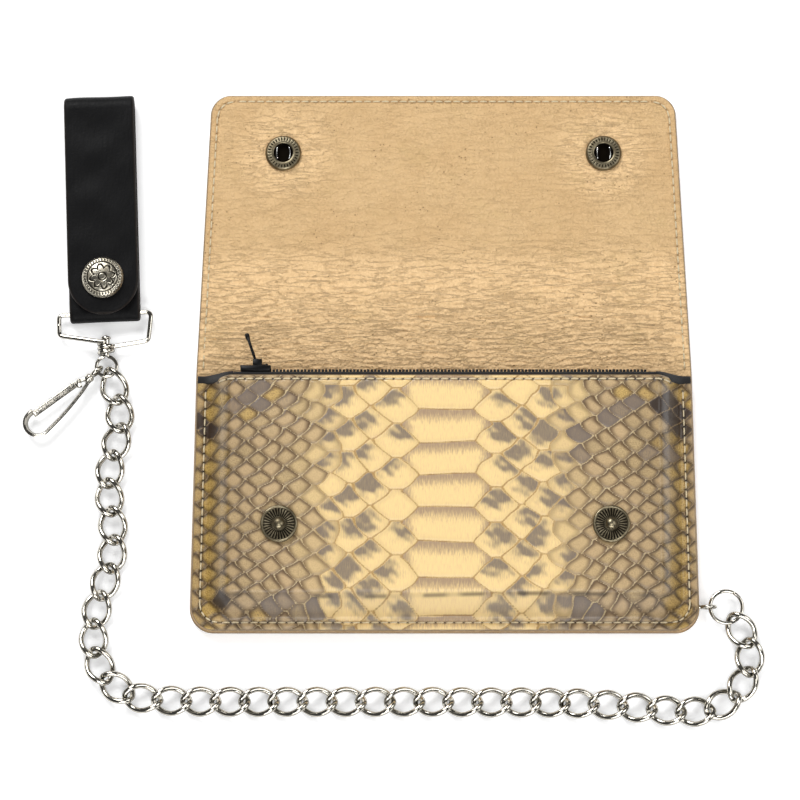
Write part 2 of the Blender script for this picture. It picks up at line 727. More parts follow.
def settle(sites, passes=3):
    """Even out the spacing of the small scales, and then jog them slightly."""
    gx, gy = np.meshgrid(np.arange(-101, 101, 1.4), np.arange(LATTICE_LOW, LATTICE_HIGH, 1.4))
    gx, gy = gx.ravel(), gy.ravel()
    free = sites[:, 4] > 2
    for _ in range(passes):
        owner = nearest(gx, gy, sites)[0]
        weight = np.bincount(owner, minlength=len(sites))
        cx = np.bincount(owner, gx, len(sites)) / np.maximum(weight, 1)
        cy = np.bincount(owner, gy, len(sites)) / np.maximum(weight, 1)
        go = free & (weight > 0)
        sites[go, 0] += 0.7 * (cx - sites[:, 0])[go]
        sites[go, 1] += 0.7 * (cy - sites[:, 1])[go]
    source = np.random.default_rng(11)
    jog = np.where(sites[:, 4] == 0, 0.15, 0.25)
    sites[:, 0] += source.normal(0, 1, len(sites)) * jog
    sites[:, 1] += source.normal(0, 1, len(sites)) * jog
    return sites


def nearest(x, y, sites, near=16.0):
    """Owner of each point, its distance, and how much further the next scale is."""
    owner = np.zeros(len(x), int)
    first = np.zeros(len(x))
    second = np.zeros(len(x))
    order = np.argsort(y, kind="stable")
    for part in np.array_split(order, max(len(x) // 3000, 1)):
        low_y, high_y = y[part].min() - near, y[part].max() + near
        close = np.nonzero((sites[:, 1] > low_y) & (sites[:, 1] < high_y))[0]
        d = cell_distance(x[part], y[part], sites[close])
        two = np.argpartition(d, 1, axis=1)[:, :2]
        d2 = np.take_along_axis(d, two, axis=1)
        swap = d2[:, 0] > d2[:, 1]
        two[swap] = two[swap][:, ::-1]
        d2.sort(axis=1)
        owner[part] = close[two[:, 0]]
        first[part], second[part] = d2[:, 0], d2[:, 1]
    return owner, first, second - first


SITES = settle(scale_sites())
# Dark blotches of the hide: centre x and y, half width, half height, strength of grey and of black.
BLOTCHES = [
    (-68, 38, 14, 7, 0.9, 0.0), (-40, 36, 7, 9, 0.8, 0.0), (-36, 20, 8, 7, 0.8, 0.0), (-32, 3, 7, 8, 0.8,
                                                                                       0.0),
    (-35, -16, 9, 7, 0.7, 0.0), (-38, -30, 8, 8, 0.8, 0.0), (-56, -38, 16, 4, 0.9, 0.0),
    (-91, 31, 3.6, 3.6, 1.0, 1.0), (-86, 27, 3.4, 3.4, 1.0, 1.0), (-84, -36, 8, 3, 1.0, 0.8),
    (34, 38, 8, 8, 0.8, 0.0), (37, 24, 7, 7, 0.8, 0.0), (50, 22, 10, 6, 0.9, 0.0), (62, 30, 9, 5, 0.95, 0.1),
    (72, 38, 8, 5, 0.95, 0.35), (84, 36, 9, 7, 1.0, 1.0), (88, 28, 7, 6, 1.0, 1.0), (80, 20, 9, 4, 1.0, 0.6),
    (48, 6, 6, 6, 0.7, 0.0), (40, -10, 7, 9, 0.75, 0.0), (36, -32, 8, 7, 0.8, 0.0), (24, 22, 7, 6, 0.8, 0.0),
    (23, -2, 6, 7, 0.5, 0.0), (50, -40, 9, 3, 0.9, 0.2)]


def skin_masks(x, y, mirror=1.0):
    """All masks and the relief of the snakeskin at points x, y."""
    shape = x.shape
    px, py = (mirror * x).ravel(), y.ravel()
    bend = 0.6 * ripples(px, py, 3, 60, 60, 6)
    owner, first, margin = nearest(px + 0.35 * ripples(px, py, 5, 9, 9, 8), py + bend, SITES)
    cell = SITES[owner]
    source = np.random.default_rng(23)
    luck = source.random((len(SITES), 4))[owner]
    p, q = (px - cell[:, 0]) / cell[:, 2], (py + bend - cell[:, 1]) / cell[:, 3]
    belly = cell[:, 4] == 0
    fold_back = np.where(cell[:, 1] > 50, 60 - cell[:, 1], cell[:, 1])  # the flap repeats the blotches
    grey, black = np.zeros(len(px)), np.zeros(len(px))
    for bx, by, rx, ry, g, k in BLOTCHES:
        near = np.exp(-(((cell[:, 0] - bx) / rx) ** 2 + ((fold_back - by) / ry) ** 2))
        grey, black = np.maximum(grey, g * near), np.maximum(black, k * near)
    side = np.abs(cell[:, 0])
    cream = smooth(56, 36, side + 8 * (luck[:, 0] - 0.5))
    gold = smooth(79, 84, side + 4 * (luck[:, 1] - 0.5)) * smooth(94, 90, side) * 0.9
    bright = ((luck[:, 2] > 0.8) & (side > 60) & (grey > 0.15)) * 0.7
    column = cell[:, 4]
    away = np.where(px < 0, -1, 1) * np.where(luck[:, 0] > 0.3, 1, -1)
    patch_x, patch_y = away * (0.1 + 0.6 * luck[:, 1]), 0.25 + 0.6 * luck[:, 2]
    wobble = 0.3 * ripples(px, py, 13, 5, 5, 10)
    patch_tall = 0.6 + 0.35 * luck[:, 3]
    spread = np.exp(-(((p - patch_x) / 0.85) ** 2 + ((q - patch_y) / patch_tall) ** 2) - wobble)
    central = (column > 0) & (column < 5) & (luck[:, 3] > 0.06)
    inside = smooth(0.02, 0.16, margin)
    dark = np.where(central, 1.15 * spread, 0)
    dark = dark + np.where(column > 4, 1, 0.6 * spread) * smooth(0.3, 0.7, grey + 0.3 * (luck[:, 3] - 0.5))
    dark = np.where(belly, 0, dark) * (0.25 + 0.75 * inside)
    fringe = 0.95 * np.maximum(smooth(-0.25, 0.95, q), smooth(0.55, 0.98, np.abs(p)))
    fringe = np.where(belly, fringe, 0)
    dome = 1 - np.clip(first, 0, 1) ** 2.5
    relief = 0.34 * dome * (0.7 - 0.45 * np.clip(q, -1, 1)) - 0.26 * smooth(0.16, 0.0, margin)
    relief = np.where(belly, 0.75 * relief, relief)
    masks = {"cream": cream, "gold": gold * (1 - cream) + bright, "dark": np.clip(dark, 0, 1) * (1 - bright),
             "black": smooth(0.35, 0.7, black) * smooth(0.02, 0.2, margin), "margin": np.clip(margin, 0, 1),
             "fringe": fringe, "q": np.clip(q, -1, 1), "tint": luck[:, 0] * (1 - cream),
             "outer": smooth(62, 86, side)}
    return {k: v.reshape(shape) for k, v in masks.items()}, relief.reshape(shape)


# ---------------------------------------------------------------- stitches
STITCH = 3.4
FRONT_INSET, FLAP_INSET = 3.0, 2.7
TOP_ROW_HALF = 84


def thread_rows():
    """Start and end of each straight row of stitches on the front panel."""
    inset = FRONT_INSET
    side_low = (body_half - 1.2 - inset, corner_r + body_low)
    side_high = (fold_half - 1 - inset, panel_y - 4)
    low_x = body_half - inset - corner_r
    rows = []
    for s in (-1, 1):
        rows.append(((s * side_low[0], side_low[1]), (s * side_high[0], side_high[1])))
    rows.append(((-low_x, inset + 0.6 + body_low), (low_x, inset + 0.6 + body_low)))
    rows.append(((-TOP_ROW_HALF, panel_y - 1.7), (TOP_ROW_HALF, panel_y - 1.7)))
    return [(np.array(a), np.array(b)) for a, b in rows]


def corner_rows(centre_x, centre_y, r, start, count):
    """Short rows that carry the stitching round a corner on both sides, from an angle in degrees to 0."""
    rows = []
    for s in (-1, 1):
        angles = np.radians(np.linspace(start, 0, count))
        ring = [np.array([s * centre_x + s * r * math.cos(a), centre_y + r * math.sin(a)]) for a in angles]
        rows += list(zip(ring[:-1], ring[1:]))
    return rows


def corner_stitches():
    r = corner_r - 2.4
    return corner_rows(body_half - 1.2 - FRONT_INSET - r, body_low + FRONT_INSET + 0.6 + r, r, -90, 5)


def flap_rows():
    """Start and end of the rows up the flap's sides and along its edge."""
    inset = FLAP_INSET
    rows = []
    low_y, high_y = fold_y + 1.5, flap_high - flap_r - 1
    for s in (-1, 1):
        a = (s * (hide_line(inset)(np.array(low_y))), low_y)
        b = (s * (hide_line(inset)(np.array(high_y))), high_y)
        rows.append((np.array(a, float), np.array(b, float)))
    x = float(hide_line(inset)(np.array(flap_high))) - flap_r
    rows.append((np.array([-x, flap_high - inset]), np.array([x, flap_high - inset])))
    return rows


def flap_corner_stitches():
    r = flap_r - 1.2
    half = float(hide_line(FLAP_INSET)(np.array(flap_high - 8)))
    return corner_rows(half - r, flap_high - FLAP_INSET - r, r, 90, 4)


def row_points(a, b):
    """Where the thread goes through the leather along a row."""
    count = max(int(round(np.linalg.norm(b - a) / STITCH)), 1)
    return [a + (b - a) * k / count for k in range(count + 1)]


def hole_mask(x, y, rows):
    """1 at the needle holes, and a shallow channel along the rows."""
    hole, channel = np.zeros_like(x), np.zeros_like(x)
    for a, b in rows:
        length = np.linalg.norm(b - a)
        if length < 1e-6:
            continue
        u = (b - a) / length
        count = max(int(round(length / STITCH)), 1)
        along = (x - a[0]) * u[0] + (y - a[1]) * u[1]
        off = -(x - a[0]) * u[1] + (y - a[1]) * u[0]
        inside = (along > -0.6) & (along < length + 0.6)
        pitch = length / count
        to_hole = np.abs((along / pitch + 0.5) % 1 - 0.5) * pitch
        hole = np.maximum(hole, inside * smooth(0.8, 0.42, np.hypot(to_hole, off * 1.2)))
        channel = np.maximum(channel, inside * smooth(0.9, 0.2, np.abs(off)))
    return hole, channel


def stitch(a, b, height, gap=0.45, r=0.3):
    """One stitch between two holes, dipping into the leather at both ends; height(x, y) is the surface."""
    length = np.linalg.norm(b - a)
    u = (b - a) / length
    at = np.linspace(gap, length - gap, 9)
    bow = np.sin(np.linspace(0, math.pi, 9)) ** 0.6
    xy = a[None, :] + u[None, :] * at[:, None]
    z = height(xy[:, 0], xy[:, 1]) - 0.16 + 0.36 * bow
    return tube(np.column_stack([xy, z]), r * (0.72 + 0.28 * bow), 8)


def thread_piece(name, rows, height, body, node):
    """All stitches of the given rows as one piece."""
    parts = []
    for a, b in rows:
        points = row_points(a, b)
        parts += [stitch(p, q, height) for p, q in zip(points[:-1], points[1:])]
    make(name, merge(parts), THREAD, body, "thread", [node])


# ---------------------------------------------------------------- wallet body
# Thickness of each layer, and how far it is set in from the hide's edge.
LAYERS = {"card_panel": (0.8, 0.6), "coin_pocket_back": (0.8, 0.6), "coin_pocket_lining": (0.8, 0.3),
          "front_panel": (1.8, 0.6)}


def lining_sheet(node, x, y, d, top, bottom, rim):
    """A plain lining leather sheet with round rims in place of a CAD node."""
    drop = rim_drop(d, rim)
    marks = {"flat": stack(x, y, 0 * x), "wrinkle": 0 * x + 0.3, "edge": smooth(0.5, 0.1, d)}
    slab(node + "_leather", stack(x, y, top - drop), stack(x, y, bottom + drop), LINING, marks,
         body="wallet", slot="lining_leather", replaces=[node])


def pinched(top, under, fall, d):
    """Both faces of a sheet brought together by a fall at its rim, so that they meet where d is 0."""
    top, under = top - fall, under + fall
    meet = d < 1e-6
    middle = (top + under) / 2
    return np.where(meet, middle, top), np.where(meet, middle, under)


def panel_height(x, y):
    """Top of the front panel without its scales."""
    t = LAYERS["front_panel"][0]
    edge = low("front_panel")[2] + t
    sag = 0.35 * (np.cos(x / 38.0) * np.cos((y + 2) / 26.0)) * rise(x, y)
    return edge + (panel_top - edge) * rise(x, y) + sag - 0.35


def pocket_layer(node):
    """One of the plain leather layers behind the front panel."""
    thick, inset = LAYERS[node]
    y_low, y_high = body_low + inset, high(node)[1]
    rim = thick / 2
    ys = row_ys(y_low, y_high, corner_r, 0, 1.3, rim)
    x, y, d = plate(ys, body_line(inset + 0.1), y_low, y_high, corner_r, 0, rim, 1.3)
    d = np.minimum(d, y_high - y)
    edge, middle = low(node)[2] + thick, high(node)[2]
    top = edge + (middle - edge) * rise(x, y)
    lining_sheet(node, x, y, d, top, top - thick, rim)


def front_panel():
    """The snakeskin front: raised, glossy, sewn round its border, creased over its lower edge."""
    thick, inset = LAYERS["front_panel"]
    y_low, y_high = body_low + inset, panel_y
    rim = 0.7
    ys = row_ys(y_low, y_high, corner_r, 0, 0.45, rim)
    x, y, d = plate(ys, body_line(inset + 0.1), y_low, y_high, corner_r, 0, rim, 0.45)
    d = np.minimum(d, y_high - y)
    masks, relief = skin_masks(x, y)
    rows = thread_rows() + corner_stitches()
    hole, channel = hole_mask(x, y, rows)
    crease_y = body_low + border_in + slope_w - 2.6 + 0.5 * np.sin(x / 21)
    crease = smooth(1.1, 0.1, np.abs(y - crease_y))
    crease *= (0.2 + 0.8 * smooth(-0.1, 0.5, ripples(x, 0 * x, 41, 16, 16, 8))) * smooth(90, 70, np.abs(x))
    snap = snap_distance(x, y, stud_x, stud_y)
    base = panel_height(x, y)
    press = 0.25 * smooth(10.5, 6.6, snap)
    relief = relief * smooth(0.2, 1.6, d) * (1 - 0.8 * channel) * smooth(6.2, 8.2, snap)
    wave = 0.12 * ripples(x, y, 19, 30, 26, 8) * smooth(0, 6, d) * smooth(6.5, 14, snap)
    top = base + relief + wave - press - 0.12 * channel - 0.35 * hole - 0.25 * crease
    under = base - thick - press
    half_gap = np.maximum((top - under) / 2 - 0.02, 0.05)
    top_z, under_z = pinched(top, under, np.minimum(rim_drop(d, rim) * 1.25, half_gap), d)
    masks.update({"flat": stack(x, y, 0 * x), "hole": np.clip(hole + 0.75 * crease, 0, 1) * 0.9,
                  "edge": smooth(0.7, 0.1, d)})
    slab("front_panel_leather", stack(x, y, top_z), stack(x, y, under_z), SCALES, masks,
         body="wallet", slot="printed_leather", replaces=["front_panel"])
    thread_piece("front_stitches", rows, lambda px, py: panel_height(px, py) + 0.1, "wallet",
                 "front_stitching")


def lining_shape(x, y, d, snap):
    """Top, under side and masks of the lining: folds along the spine, rays round the snaps."""
    hole, channel = hole_mask(x, y, flap_rows() + flap_corner_stitches())
    fold_zone = smooth(108, 84, y) * smooth(44, 56, y)
    folds = ripples(x, y + 1.2 * np.sin(x / 17), 31, 24, 4.2, 20)
    ridges = 0.55 * np.minimum(np.abs(folds), 1.2) ** 0.8 * fold_zone
    round_snap = np.arctan2(y - socket_y, np.abs(x) - socket_x)
    pull = ripples(round_snap * 9, snap * 0.35, 37, 2.2, 9, 14)
    rays = 0.24 * np.abs(pull) * smooth(34, 10, snap) * smooth(6.4, 8.0, snap)
    soft = 0.14 * ripples(x, y, 43, 34, 30, 8) + 0.05 * ripples(x, y, 47, 7, 6, 12)
    top = hide_top - 0.12 + (ridges + rays + soft * smooth(6.5, 12, snap)) * smooth(0.4, 3, d)
    top = np.where(y < panel_y, np.minimum(top, hide_top - 0.02), top)
    top -= 0.1 * channel + 0.3 * hole + 0.25 * smooth(9.5, 7, snap)
    under = skin_top + 0.02 + 0 * x
    top = np.where(snap < 3.95, under + 0.06, top)
    top = np.maximum(top, under + 0.04)
    valley = smooth(0.4, 0.0, np.abs(folds)) * fold_zone
    valley = valley + 0.7 * smooth(0.35, 0.0, np.abs(pull)) * smooth(30, 9, snap)
    masks = {"flat": stack(x, y, 0 * x), "valley": np.clip(valley, 0, 1),
             "wrinkle": np.clip(0.35 + 0.65 * fold_zone + 0.5 * smooth(26, 8, snap), 0, 1),
             "edge": np.clip(smooth(0.6, 0.1, d) + hole, 0, 1)}
    return top, under, masks


def skin_shape(x, y, d, snap):
    """Top, under side and masks of the outer skin, whose scales face down."""
    masks, relief = skin_masks(x, y, -1.0)
    shape = relief * smooth(0.2, 1.6, d) * smooth(7.2, 9.0, snap)
    top = skin_top + 0 * x
    under = 0.30 - shape * smooth(0.0, 1.0, d)
    under = np.where(snap < 7.15, skin_top - 0.03, np.maximum(under, 0.0))
    masks.update({"flat": stack(x, y, 0 * x), "hole": 0 * x, "edge": smooth(0.9, 0.1, d)})
    return top, under, masks


def hide_pieces():
    """Lining and outer skin as one hide each, cut across the fold so that every cut bends with a hinge."""
    cuts = [fold_ys[k] + strip / 2 for k in range(3)]
    names = ["body", "fold_a", "fold_b", "flap"]
    nodes = {"lining": [["back_lining", "spine_fold_1"], ["spine_fold_2"], ["spine_fold_3"],
                        ["flap_lining"]],
             "skin": [["back_skin"], [], [], ["flap_skin"]]}
    for kind in ("lining", "skin"):
        inset = 0.35 if kind == "lining" else 0.05
        thick = hide_top - skin_top if kind == "lining" else skin_top
        rim = thick / 2
        y_low, y_high = body_low + inset, flap_high - inset
        ys = row_ys(y_low, y_high, corner_r, flap_r, 0.5, rim, cuts)
        x, y, d = plate(ys, hide_line(inset), y_low, y_high, corner_r, flap_r, rim, 0.62)
        snap = snap_distance(x, y, socket_x, socket_y)
        if kind == "lining":
            top, under, masks = lining_shape(x, y, d, snap)
            material, slot = LINING, "lining_leather"
        else:
            top, under, masks = skin_shape(x, y, d, snap)
            material, slot = SCALES, "printed_leather"
        top_z, under_z = pinched(top, under, np.minimum(rim_drop(d, rim), (top - under) / 2), d)
        edges = [0] + [int(np.argmin(np.abs(ys - c))) for c in cuts] + [len(ys) - 1]
        for k in range(4):
            rows_k = slice(edges[k], edges[k + 1] + 1)
            piece = slab(f"{kind}_{names[k]}", stack(x, y, top_z), stack(x, y, under_z), material, masks,
                         exact_normals=True, rows=rows_k, slot=slot, replaces=nodes[kind][k])
            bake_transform(piece)


def flap_threads():
    """Stitches round the flap, on the lining's side."""
    thread_piece("flap_stitches", flap_rows() + flap_corner_stitches(),
                 lambda px, py: hide_top - 0.05 + 0 * px, "flap", "flap_stitching")


def side_tab():
    """Leather tab that holds the chain's eye in the sewn border."""
    lo, hi = low("ring_tab"), high("ring_tab")
    ys = row_ys(lo[1], hi[1], 1.5, 1.5, 0.5, 0.6)
    x, y, d = plate(ys, lambda v: (hi[0] - lo[0]) / 2 + 0 * v, lo[1], hi[1], 1.5, 1.5, 0.6, 0.5)
    drop = rim_drop(d, 0.6)
    marks = {"flat": stack(x, y, 0 * x), "wrinkle": 0 * x + 0.4, "edge": smooth(0.6, 0.1, d)}
    x = x + (lo[0] + hi[0]) / 2
    slab("ring_tab_leather", stack(x, y, hi[2] - drop), stack(x, y, lo[2] + drop), LINING, marks,
         body="wallet", slot="lining_leather", replaces=["ring_tab"])


# ---------------------------------------------------------------- zip
def zip_tapes():
    """Two woven tapes: each lies in the pocket's mouth and turns to stand behind the teeth."""
    thick, bend, steps = 0.55, 1.4, 26
    for node, away in (("zip_tape_upper", -1), ("zip_tape_lower", 1)):
        lo, hi = low(node), high(node)
        level, stand = (hi[2] - thick / 2, lo[2]) if away < 0 else (lo[2] + thick / 2, hi[2])
        edge = hi[1] + 0.35 - thick / 2
        profile = [(lo[1], level), (edge - bend, level)]
        for a in np.linspace(0, math.pi / 2, 7)[1:]:
            profile.append((edge - bend + bend * math.sin(a), level + away * bend * (1 - math.cos(a))))
        profile.append((edge, stand))
        profile = np.array(profile)
        fine = np.linspace(0, 1, steps)
        length = path_lengths(profile)
        py = np.interp(fine * length[-1], length, profile[:, 0])
        pz = np.interp(fine * length[-1], length, profile[:, 1])
        ty, tz = np.gradient(py), np.gradient(pz)
        size = np.hypot(ty, tz)
        ny, nz = -tz / size, ty / size
        xs = np.arange(lo[0], hi[0] + 0.01, 1.0)
        gx, _ = np.meshgrid(xs, fine)
        ripple = 0.06 * np.sin(xs / 2.6 + 0.4) + 0.04 * np.sin(xs / 0.9)
        half = thick / 2 * np.ones(steps)
        half[[0, -1]] = 0.12
        top, bottom = (stack(gx, (py + s * ny * half)[:, None],
                             (pz + s * nz * half)[:, None] + ripple[None, :])
                       for s in (1, -1))
        slab(node + "_cloth", top, bottom, TAPE, body="wallet", slot="zip_tape", replaces=[node])


def zip_ends():
    """Tape ends that fold over the pocket's mouth and run down its sloped sides."""
    for side, node in ((-1, "zip_end_left"), (1, "zip_end_right")):
        lo, hi = low(node), high(node)
        inner, outer = (hi[0], lo[0]) if side < 0 else (lo[0], hi[0])
        xs = np.linspace(inner, outer, 30)
        t = np.abs(xs - inner) / abs(outer - inner)
        roof = hi[2] + 0.2 - (hi[2] + 0.2 - lo[2] - 3.6) * smooth(0.0, 0.86, t)
        ys = np.linspace(lo[1] - 0.1, hi[1] + 1.6, 10)
        gx, gy = np.meshgrid(xs, ys)
        crown = np.sin(np.linspace(0, math.pi, 10))[:, None]
        top = roof[None, :] - 0.8 + 0.9 * crown ** 0.5
        floor = np.maximum(lo[2] + 0.2, roof - 5.5)[None, :] + 0 * gx
        top = np.maximum(top, floor + 0.3)
        if side < 0:
            gx, gy, top, floor = gx[:, ::-1], gy[:, ::-1], top[:, ::-1], floor[:, ::-1]
        slab(node + "_cloth", stack(gx, gy, top), stack(gx, gy, floor), TAPE, body="wallet", slot="zip_tape",
             replaces=[node])


TOOTH_PITCH = 2.6


def tooth_part(at, up):
    """One moulded tooth: a body on the tape's edge and a round head."""
    root = block((0.98, 1.9, 1.2), 0.25, (0, 0.05, 0.35 * up), 2)
    head = block((0.98, 1.7, 0.8), 0.25, (0, 0.55, -0.3 * up), 2)
    return moved(merge([root, head]), at)


def zip_teeth():
    """Two rows of teeth that mesh, one on each tape."""
    for node, up in (("zip_teeth_upper", 1), ("zip_teeth_lower", -1)):
        lo, hi = low(node), high(node)
        count = int(round((hi[0] - lo[0] - 1.1) / TOOTH_PITCH)) + 1
        _, mid_y, mid_z = (lo + hi) / 2
        parts = [tooth_part((lo[0] + 0.55 + i * TOOTH_PITCH, mid_y, mid_z), up) for i in range(count)]
        make(node + "_teeth", merge(parts), ZIP, "wallet", "zip_metal", [node])


def zip_slider():
    """Slider body with its two lips, side flanges and the bridge that carries the pull."""
    cx, pin_y, cz = joint_at("pull_swing")
    back = low("zip_slider")[1]
    parts = [block((11.4, 0.95, 6.2), 0.42, (cx, back + 1.95, cz))]
    for s in (-1, 1):
        parts.append(block((11.2, 2.3, 1.35), 0.5, (cx, back + 1.15, cz + s * 2.5)))
        parts.append(block((3.4, 2.9, 0.7), 0.3, (cx + 0.6, pin_y - 0.75, cz + s * 1.35)))
    parts.append(block((1.2, 1.1, 3.3), 0.4, (cx + 4.0, back + 2.7, cz)))
    parts.append(block((4.6, 0.8, 3.3), 0.35, (cx + 2.1, back + 2.6, cz)))
    parts.append(tube([(cx, pin_y, cz + z) for z in (-1.3, 0, 1.3)], 0.5, 16))
    make("zip_slider_body", merge(parts), ZIP, "slider", "zip_metal", ["zip_slider"])


def zip_pull():
    """Pull tab: a ring on the slider's pin and a flat tab with a round end and a slot."""
    turn = 109
    ring = tube([(0.8 * math.cos(a), 0.8 * math.sin(a), 0) for a in np.linspace(0, 2 * math.pi, 28)[:-1]],
                0.24, 10, closed=True, flat=(1, 3.2))
    neck = block((1.9, 1.0, 1.8), 0.4, (1.9, 0, 0))
    sides = [block((7.2, 1.05, 1.15), 0.42, (6.1, 0, z)) for z in (1.42, -1.42)]
    root = block((1.6, 1.15, 3.9), 0.45, (3.0, 0, 0))
    tip = block((2.4, 1.7, 4.0), 0.75, (9.8, 0, 0), 4)
    part = moved(merge([ring, neck, *sides, root, tip]), joint_at("pull_swing"), turn)
    make("zip_pull_tab", part, ZIP, "pull", "zip_metal", ["zip_pull"])


# ---------------------------------------------------------------- snaps
def stud_part():
    """Stud seen from above: rim, ribbed dished ring, and the post with its ball."""
    ribs = 30
    radii = [0.0, 0.6, 1.1, 1.6, 2.0, 2.2, 2.2, 1.9, 1.6, 1.6, 1.9, 2.3, 2.7]
    heights = [2.68, 2.64, 2.5, 2.2, 1.8, 1.5, 1.25, 0.95, 0.75, 0.55, 0.42, 0.38, 0.36]
    inner = list(np.linspace(2.9, 5.6, 14))
    radii += inner + [5.75, 5.95, 6.2, 6.5, 6.75, 6.8, 6.8]
    heights += [0.34 + 0.16 * math.sin(math.pi * (r - 2.9) / 2.7) for r in inner]
    heights += [0.55, 0.85, 0.98, 0.92, 0.7, 0.45, -0.25]

    def relief(r, a):
        band = smooth(2.7, 3.1, r) * smooth(5.7, 5.4, r)
        return 0.26 * band * (0.5 + 0.5 * np.cos(ribs * a)) ** 0.7

    p, f = disc_piece(radii, heights, 240, relief)
    rr, aa = polar(p)
    band = smooth(2.0, 2.5, rr) * smooth(5.9, 5.6, rr)
    valley = 1 - (0.5 + 0.5 * np.cos(ribs * aa)) ** 0.7
    recess = band * np.clip(0.35 + valley, 0, 1) + 0.5 * ((rr < 2.1) & (p[:, 2] < 1.3))
    return p, f, np.clip(recess, 0, 1)


def socket_part():
    """Socket ring with a ring of small bars, a dark well and a rolled inner edge."""
    bars = 30
    radii = [0.0, 3.3, 3.58, 3.6, 3.6, 3.66, 3.85, 4.1, 4.4]
    heights = [-0.6, -0.6, -0.55, 0.2, 1.0, 1.22, 1.36, 1.4, 1.42]
    ring = list(np.linspace(4.5, 6.0, 10))
    radii += ring + [6.15, 6.4, 6.65, 6.8, 6.8, 6.8]
    heights += [1.42 - 0.12 * (r - 4.5) for r in ring]
    heights += [1.15, 0.95, 0.65, 0.35, 0.1, -0.25]

    def marks(r, a):
        return smooth(4.55, 4.75, r) * smooth(5.95, 5.75, r) * smooth(0.1, 0.55, np.cos(bars * a))

    p, f = disc_piece(radii, heights, 312, lambda r, a: -0.13 * marks(r, a))
    rr, aa = polar(p)
    recess = marks(rr, aa) + (rr < 3.62) * (p[:, 2] < 1.05)
    return p, f, np.clip(recess, 0, 1)


def cap_part(r, h):
    """Domed cap of the flap's snaps, seen from outside: it faces down."""
    radii = [0.0, 0.25 * r, 0.5 * r, 0.7 * r, 0.82 * r, 0.9 * r, 0.96 * r, r, r, 0.97 * r]
    heights = [0.0, 0.03 * h, 0.1 * h, 0.22 * h, 0.36 * h, 0.5 * h, 0.68 * h, 0.85 * h, 0.95 * h, h]
    p, f = disc_piece(radii, heights, 96)
    return p, [face[::-1] for face in f], np.zeros(len(p))


def rivet_part():
    """Round back of a stud, riveted inside the pocket."""
    p, f = disc_piece([3.0, 4.2, 5.0, 5.0, 4.2, 3.0], [0.5, 0.55, 0.35, 0.1, 0.0, 0.05], 48)
    return p, f, np.zeros(len(p))


def pair_piece(name, part, x, y, z, body, node):
    """A brass part on both sides of the wallet."""
    p, f, recess = part
    pair = merge([moved((p, f), (s * x, y, z)) for s in (-1, 1)])
    make(name, pair, BRASS, body, "snap_metal", [node], {"recess": np.concatenate([recess, recess])})


def snaps():
    """Studs and their backs on the body, sockets with their springs and caps on the flap."""
    pair_piece("snap_stud_pair", stud_part(), stud_x, stud_y, panel_top + 0.02, "wallet", "snap_studs")
    pair_piece("snap_socket_pair", socket_part(), socket_x, socket_y, hide_top + 0.02, "flap",
               "snap_sockets")
    pair_piece("snap_cap_pair", cap_part(7.0, 1.1), socket_x, socket_y, 0.05, "flap", "snap_caps")
    parts = []
    for s in (-1, 1):
        for w in (-1, 1):
            x, z = s * socket_x + w * 2.55, hide_top + 0.75
            path = [(x - w * 0.35 * t ** 2, socket_y + 2.3 * t, z) for t in np.linspace(-1, 1, 9)]
            parts.append(tube(path, 0.3, 10))
    make("snap_spring_wires", merge(parts), WIRE, "flap", "spring_wire", ["snap_springs"])
    back_z = low("snap_stud_backs")[2]
    pair_piece("snap_stud_rivets", rivet_part(), stud_x, stud_y, back_z, "wallet", "snap_stud_backs")


# ---------------------------------------------------------------- chain
# Half length and half width of a link's centre line, its wire's radius, and the twist at its ends.
LINK_A, LINK_B, LINK_R, LINK_TWIST = 6.7, 4.6, 1.05, math.radians(-45)


def islands(node):
    """The separate solids of a CAD node, as arrays of points in millimetres."""
    mesh = frame["nodes"][node].data
    co = np.array([v.co for v in mesh.vertices]) / MM
    key = {}
    label = np.array([key.setdefault(tuple(np.round(c, 3)), len(key)) for c in co])
    parent = list(range(len(key)))

    def find(a):
        while parent[a] != a:
            parent[a] = parent[parent[a]]
            a = parent[a]
        return a

    for e in mesh.edges:
        a, b = find(label[e.vertices[0]]), find(label[e.vertices[1]])
        parent[a] = b
    roots = np.array([find(v) for v in label])
    return [co[roots == r] for r in sorted(set(roots), key=lambda r: np.nonzero(roots == r)[0][0])]


def link_part(centre, axes):
    """A smooth curb link: an oval of round wire, twisted end against end."""
    t = np.linspace(0, 2 * math.pi, 72, endpoint=False)
    twist, half_width = LINK_TWIST * np.cos(t), LINK_B * np.sin(t)
    path = np.stack([LINK_A * np.cos(t), half_width * np.cos(twist), half_width * np.sin(twist)], -1)
    p, f = tube(path, LINK_R, 16, closed=True)
    return p @ axes + centre, f


def chain():
    """A smooth link in place of every CAD link, turned to the CAD link's main axes."""
    for node in sorted(n for n in frame["nodes"] if n.startswith("chain_")):
        parts = []
        for cloud in islands(node):
            centre = cloud.mean(0)
            _, _, axes = np.linalg.svd(cloud - centre)
            if np.linalg.det(axes) < 0:
                axes[2] = -axes[2]
            parts.append(link_part(centre, axes))
        number = node.split("_")[1]
        make(f"links_{number}", merge(parts), NICKEL, f"pair_{number}", "nickel", [node])


def ring_path(centre, r, start, sweep, count=72, lift=0.0, upright=False):
    """An open ring's centre line from a start angle through a sweep in degrees, its ends a lift apart."""
    a = np.radians(np.linspace(start, start + sweep, count))
    t = np.linspace(-0.5, 0.5, count)
    if upright:
        return np.stack([centre[0] + r * np.cos(a), centre[1] + lift * t, centre[2] + r * np.sin(a)], -1)
    return np.stack([centre[0] + r * np.cos(a), centre[1] + r * np.sin(a), centre[2] + lift * t], -1)


